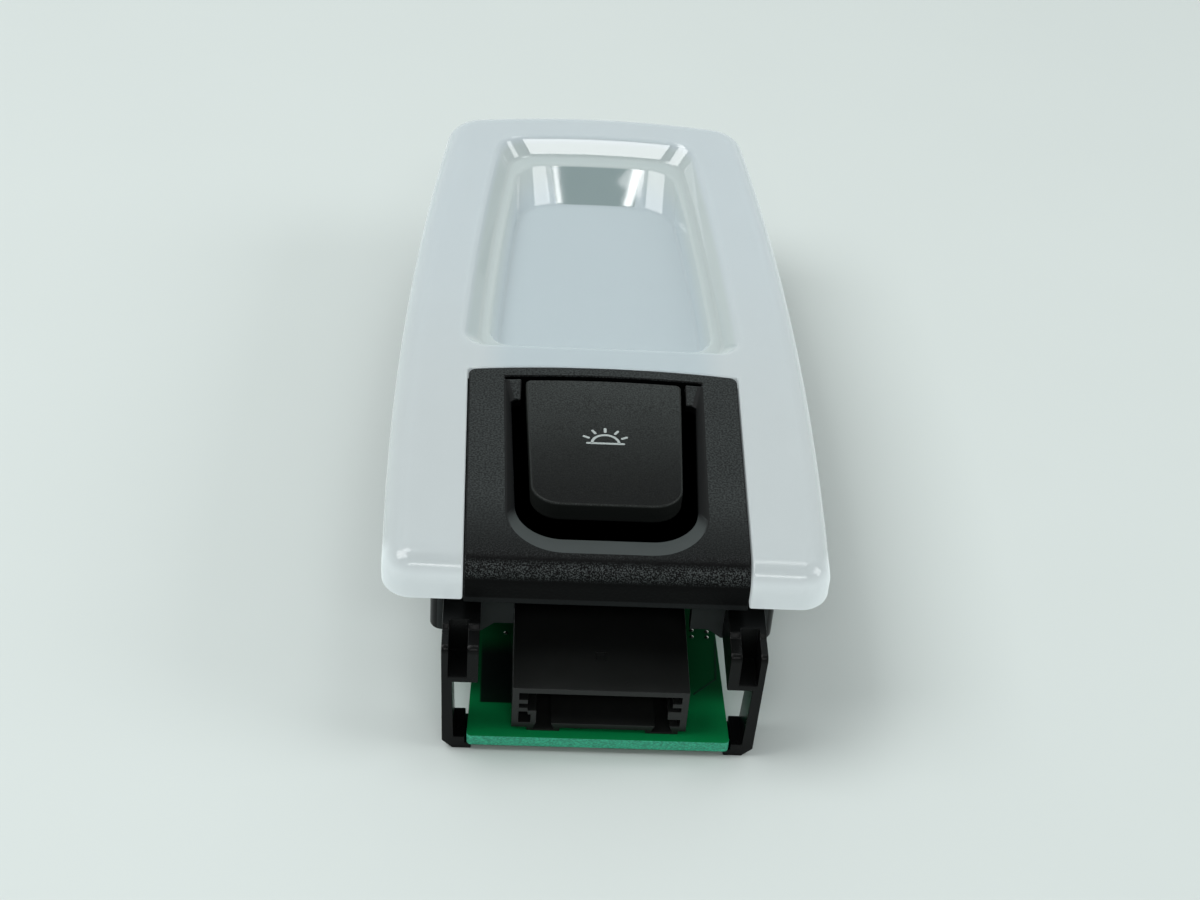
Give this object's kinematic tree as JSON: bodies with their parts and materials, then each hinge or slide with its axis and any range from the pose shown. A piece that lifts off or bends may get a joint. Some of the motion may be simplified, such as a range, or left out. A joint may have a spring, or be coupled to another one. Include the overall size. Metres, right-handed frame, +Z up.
{
  "type": "car dome light",
  "caption": "Car interior lamp with a milky dished lens, a hinged push button in a black bezel, clip arms at the front, rear tongues and a circuit board with a wire socket.",
  "frame": {"origin": "middle of the footprint, on the surface that the lamp lies on with its lens up", "axes": "+X across the lamp, +Y from the wire socket towards the far end, +Z up through the lens"},
  "size_m": [0.0556, 0.1118, 0.0263],
  "materials": {
    "lens_milky": "milky, glossy, lets light through",
    "bezel_grain": "fine moulded grain",
    "button_black": "satin",
    "housing_black": "moulded satin",
    "reflector_white": "moulded satin",
    "board_green": "solder mask",
    "socket_black": "moulded satin",
    "pin_tin": "tinned",
    "switch_black": "moulded",
    "dome_steel": "bright",
    "plunger_grey": "moulded",
    "cover_steel": "rolled",
    "terminal_tin": "tinned",
    "solder": "bright solder",
    "guide_clear": "polished",
    "led_cream": "moulded",
    "led_white": "moulded",
    "phosphor_yellow": "cast resin",
    "chip_black": "moulded resin",
    "lead_tin": "tinned",
    "diode_black": "moulded resin",
    "diode_tin": "tinned",
    "capacitor_tan": "ceramic",
    "resistor_black": "glazed",
    "cap_tin": "tinned"
  },
  "bodies": {
    "lamp_body": {"lens": "lens_milky", "switch_bezel": "bezel_grain", "housing": "housing_black", "reflector": "reflector_white", "circuit_board": "board_green", "connector_shell": "socket_black", "connector_pins": "pin_tin", "switch_base": "switch_black", "switch_dome": "dome_steel", "switch_cover": "cover_steel", "switch_terminals": "terminal_tin", "solder_joints": "solder", "symbol_light_guide": "guide_clear", "symbol_led": "led_cream", "lamp_leds": "led_white", "lamp_led_phosphors": "phosphor_yellow", "driver_chip": "chip_black", "driver_chip_leads": "lead_tin", "diode": "diode_black", "diode_leads": "diode_tin", "capacitors": "capacitor_tan", "resistors": "resistor_black", "chip_end_caps": "cap_tin"},
    "button": {"push_button": "button_black"},
    "plunger": {"switch_plunger": "plunger_grey"}
  },
  "joints": [
    {"name": "button_press", "type": "hinge", "parent": "lamp_body", "child": "button", "pos_m": [0, -0.0153, 0.0212], "axis": [1, 0, 0], "range_deg": [0, 2.5], "stiffness_Nm_per_rad": 1.2, "springref_deg": -1.15},
    {"name": "plunger_slide", "type": "slide", "parent": "lamp_body", "child": "plunger", "axis": [0, 0, -1], "range_m": [0, 0.001], "deforming": ["switch_dome"]}
  ],
  "couplings": [
    {"joint": "plunger_slide", "follows": "button_press", "m_per_rad": 0.0176}
  ]
}
